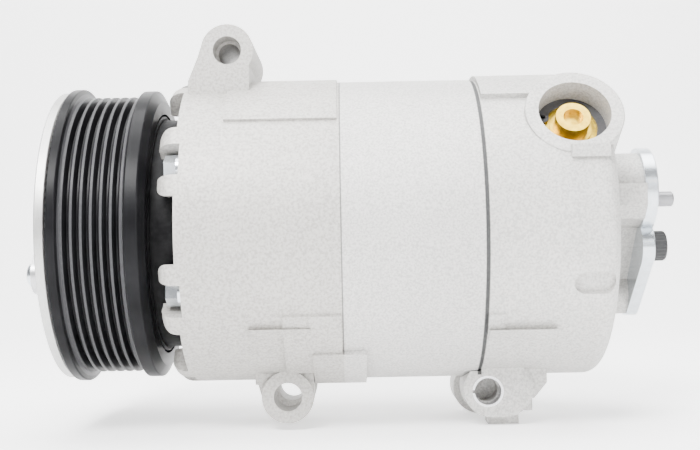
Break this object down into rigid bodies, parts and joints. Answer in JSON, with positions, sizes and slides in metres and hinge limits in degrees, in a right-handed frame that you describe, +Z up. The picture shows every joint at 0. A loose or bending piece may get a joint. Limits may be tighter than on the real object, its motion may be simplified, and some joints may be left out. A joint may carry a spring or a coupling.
{
  "type": "automotive air-conditioning compressor",
  "caption": "Belt-driven swash-plate air-conditioning compressor with electromagnetic clutch pulley, cast aluminium case, mounting ears, control valve and rear port plate.",
  "frame": {"origin": "on the shaft axis, in the middle plane of the belt grooves", "axes": "+X along the shaft to the rear head, +Z up towards the top mounting ear, -Y towards the side with the control valve pocket"},
  "size_m": [0.2517, 0.1186, 0.1556],
  "materials": {
    "cast_aluminium": "shot blasted",
    "pulley_paint": "gloss",
    "plate_steel": "satin",
    "coil_paint": "satin",
    "zinc": "bright zinc",
    "bearing_steel": "ground",
    "dark_steel": "phosphated",
    "machined_steel": "machined",
    "brass": "satin",
    "copper": "enamelled",
    "nylon": "matte",
    "bobbin_plastic": "matte",
    "seal_rubber": "matte",
    "gasket": "coated",
    "piston_aluminium": "coated",
    "cap_plastic": "matte"
  },
  "bodies": {
    "housing": {"case_seal": "seal_rubber", "coil_bobbin": "bobbin_plastic", "coil_shell": "coil_paint", "coil_snap_ring": "dark_steel", "coil_terminal": "nylon", "coil_winding": "copper", "control_valve": "brass", "cylinder_block": "cast_aluminium", "cylinder_gasket": "gasket", "discharge_reed_plate": "bearing_steel", "ear_bush": "bearing_steel", "front_head": "cast_aluminium", "front_needle_cup": "bearing_steel", "front_thrust_race": "bearing_steel", "nose_snap_ring": "dark_steel", "piston_1": "piston_aluminium", "piston_2": "piston_aluminium", "piston_3": "piston_aluminium", "piston_4": "piston_aluminium", "piston_5": "piston_aluminium", "piston_6": "piston_aluminium", "piston_7": "piston_aluminium", "piston_shoes": "machined_steel", "port_cap": "cap_plastic", "port_plate": "zinc", "port_stud": "machined_steel", "pulley_bearing_inner_race": "bearing_steel", "rear_head": "cast_aluminium", "rear_needle_cup": "bearing_steel", "retainer_gasket": "gasket", "seal_snap_ring": "dark_steel", "shaft_seal": "seal_rubber", "suction_reed_plate": "bearing_steel", "through_bolts": "zinc", "valve_circlip": "dark_steel", "valve_plate": "bearing_steel", "valve_seals": "seal_rubber"},
    "pulley_group": {"pulley": "pulley_paint", "pulley_bearing_outer_race": "bearing_steel", "pulley_snap_ring": "dark_steel", "pulley_bearing_seals": "seal_rubber"},
    "pulley_ball_set": {"pulley_bearing_balls": "bearing_steel", "pulley_bearing_cages": "nylon"},
    "shaft_group": {"shaft": "machined_steel", "clutch_hub": "dark_steel", "hub_rivets": "zinc", "leaf_springs": "bearing_steel", "hub_bolt": "zinc", "lug_rotor": "machined_steel", "hinge_pin": "bearing_steel", "swash_plate": "machined_steel", "destroke_spring": "dark_steel"},
    "clutch_plate_group": {"armature_plate": "plate_steel", "armature_rivets": "zinc"},
    "front_needle_set": {"front_needle_rollers": "bearing_steel", "front_needle_cage": "nylon"},
    "rear_needle_set": {"rear_needle_rollers": "bearing_steel", "rear_needle_cage": "nylon"},
    "thrust_set": {"front_thrust_rollers": "bearing_steel", "front_thrust_cage": "machined_steel"}
  },
  "joints": [
    {"name": "pulley_spin", "type": "hinge", "parent": "housing", "child": "pulley_group", "pos_m": [0, 0, 0], "axis": [1, 0, 0], "continuous": true},
    {"name": "shaft_spin", "type": "hinge", "parent": "housing", "child": "shaft_group", "pos_m": [0.05, 0, 0], "axis": [1, 0, 0], "continuous": true},
    {"name": "clutch_pull_in", "type": "slide", "parent": "shaft_group", "child": "clutch_plate_group", "axis": [1, 0, 0], "range_m": [0, 0.00045], "stiffness_N_per_m": 20000, "deforming": ["leaf_springs"]},
    {"name": "pulley_ball_orbit", "type": "hinge", "parent": "housing", "child": "pulley_ball_set", "pos_m": [0, 0, 0], "axis": [1, 0, 0], "continuous": true},
    {"name": "front_needle_orbit", "type": "hinge", "parent": "housing", "child": "front_needle_set", "pos_m": [0.038, 0, 0], "axis": [1, 0, 0], "continuous": true},
    {"name": "rear_needle_orbit", "type": "hinge", "parent": "housing", "child": "rear_needle_set", "pos_m": [0.115, 0, 0], "axis": [1, 0, 0], "continuous": true},
    {"name": "thrust_roller_orbit", "type": "hinge", "parent": "housing", "child": "thrust_set", "pos_m": [0.0485, 0, 0], "axis": [1, 0, 0], "continuous": true}
  ],
  "couplings": [
    {"joint": "pulley_ball_orbit", "follows": "pulley_spin", "ratio": 0.56753},
    {"joint": "front_needle_orbit", "follows": "shaft_spin", "ratio": 0.43932},
    {"joint": "rear_needle_orbit", "follows": "shaft_spin", "ratio": 0.43932},
    {"joint": "thrust_roller_orbit", "follows": "shaft_spin", "ratio": 0.5}
  ]
}
